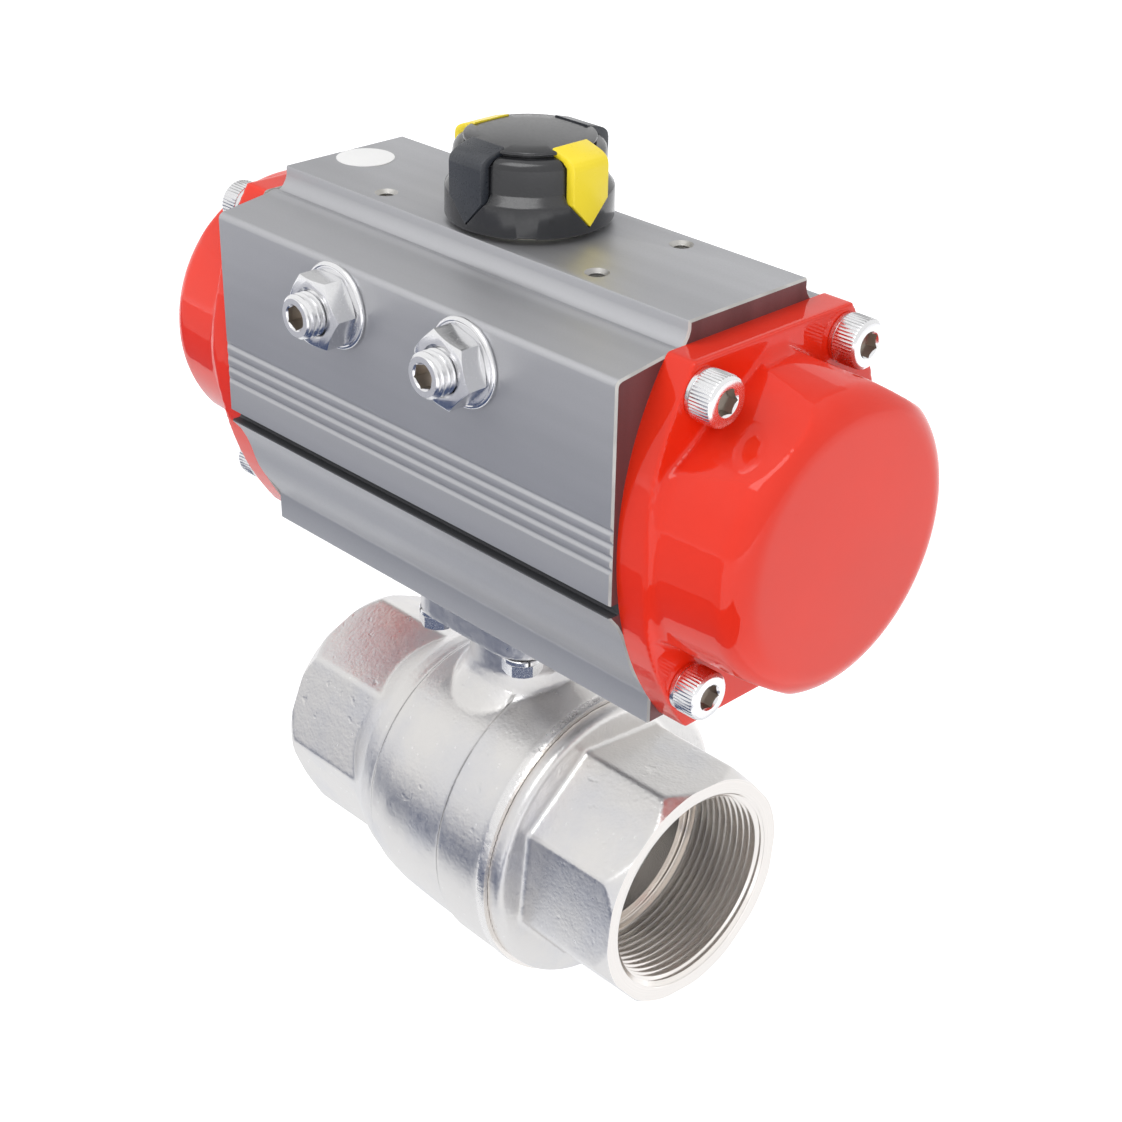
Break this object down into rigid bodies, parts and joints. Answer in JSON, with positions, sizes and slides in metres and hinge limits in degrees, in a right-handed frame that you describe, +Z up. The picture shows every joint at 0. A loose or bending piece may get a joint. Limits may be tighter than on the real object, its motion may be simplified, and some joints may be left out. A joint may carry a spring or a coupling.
{
  "type": "pneumatic ball valve",
  "caption": "Spring-return rack-and-pinion pneumatic actuator on a full-bore threaded ball valve, with position indicator and travel stops.",
  "frame": {"origin": "centre of the ball, where the pipe axis crosses the stem axis", "axes": "+X along the pipe and the actuator, out of the screwed-in port; +Z up along the stem; -Y towards the travel stop screws"},
  "size_m": [0.224, 0.1103, 0.2476],
  "materials": {
    "anodised_aluminium": "hard-anodised extrusion, satin",
    "red_paint": "gloss paint on die-cast aluminium",
    "fastener_steel": "bright stainless",
    "machined_steel": "machined",
    "spring_steel": "satin",
    "cast_stainless": "bead-blasted casting",
    "polished_stainless": "polished",
    "cast_aluminium": "as cast",
    "plug_brass": "turned",
    "black_rubber": "matt",
    "black_plastic": "satin",
    "yellow_plastic": "satin",
    "bearing_plastic": "satin",
    "seat_ptfe": "waxy",
    "sticker_white": "matt film"
  },
  "bodies": {
    "housing": {"actuator_body": "anodised_aluminium", "end_cap_left": "red_paint", "end_cap_right": "red_paint", "cap_screws_left": "fastener_steel", "cap_screws_right": "fastener_steel", "cap_gasket_left": "black_rubber", "cap_gasket_right": "black_rubber", "channel_plugs": "plug_brass", "upper_bearing": "bearing_plastic", "lower_bearing": "bearing_plastic", "stop_nuts": "fastener_steel", "stop_washers": "fastener_steel", "stop_seals": "black_rubber", "inspection_sticker": "sticker_white", "centring_ring": "machined_steel", "valve_body": "cast_stainless", "end_connector": "cast_stainless", "body_gasket": "seat_ptfe", "seat_left": "seat_ptfe", "seat_right": "seat_ptfe", "stem_thrust_washer": "seat_ptfe", "stem_packing": "seat_ptfe", "gland_ring": "machined_steel", "mounting_bolts": "fastener_steel", "mounting_washers": "fastener_steel", "springs_left": "spring_steel", "springs_right": "spring_steel"},
    "shaft": {"pinion": "machined_steel", "stop_cam": "machined_steel", "cam_key": "machined_steel", "shaft_seals": "black_rubber", "thrust_washer": "bearing_plastic", "shaft_circlip": "spring_steel", "indicator_housing": "black_plastic", "indicator_cap": "black_plastic", "yellow_pointers": "yellow_plastic", "black_pointers": "black_plastic", "indicator_screw": "fastener_steel", "stem": "machined_steel", "disc_springs": "spring_steel", "stem_nut": "fastener_steel", "ball": "polished_stainless"},
    "right_piston": {"piston_right": "cast_aluminium", "piston_seal_right": "black_rubber", "guide_band_right": "bearing_plastic", "rack_pad_right": "bearing_plastic"},
    "left_piston": {"piston_left": "cast_aluminium", "piston_seal_left": "black_rubber", "guide_band_left": "bearing_plastic", "rack_pad_left": "bearing_plastic"},
    "right_stop": {"stop_screw_right": "fastener_steel"},
    "left_stop": {"stop_screw_left": "fastener_steel"}
  },
  "joints": [
    {"name": "shaft_turn", "type": "hinge", "parent": "housing", "child": "shaft", "pos_m": [0, 0, 0], "axis": [0, 0, 1], "range_deg": [0, 90], "stiffness_Nm_per_rad": 0.2, "springref_deg": -28.65},
    {"name": "right_piston_slide", "type": "slide", "parent": "housing", "child": "right_piston", "axis": [1, 0, 0], "range_m": [0, 0.0236], "deforming": ["springs_right"]},
    {"name": "left_piston_slide", "type": "slide", "parent": "housing", "child": "left_piston", "axis": [-1, 0, 0], "range_m": [0, 0.0236], "deforming": ["springs_left"]},
    {"name": "right_stop_adjust", "type": "slide", "parent": "housing", "child": "right_stop", "axis": [0, -1, 0], "range_m": [0, 0.003]},
    {"name": "left_stop_adjust", "type": "slide", "parent": "housing", "child": "left_stop", "axis": [0, -1, 0], "range_m": [0, 0.003]}
  ],
  "couplings": [
    {"joint": "right_piston_slide", "follows": "shaft_turn", "m_per_rad": 0.015},
    {"joint": "left_piston_slide", "follows": "shaft_turn", "m_per_rad": 0.015}
  ]
}
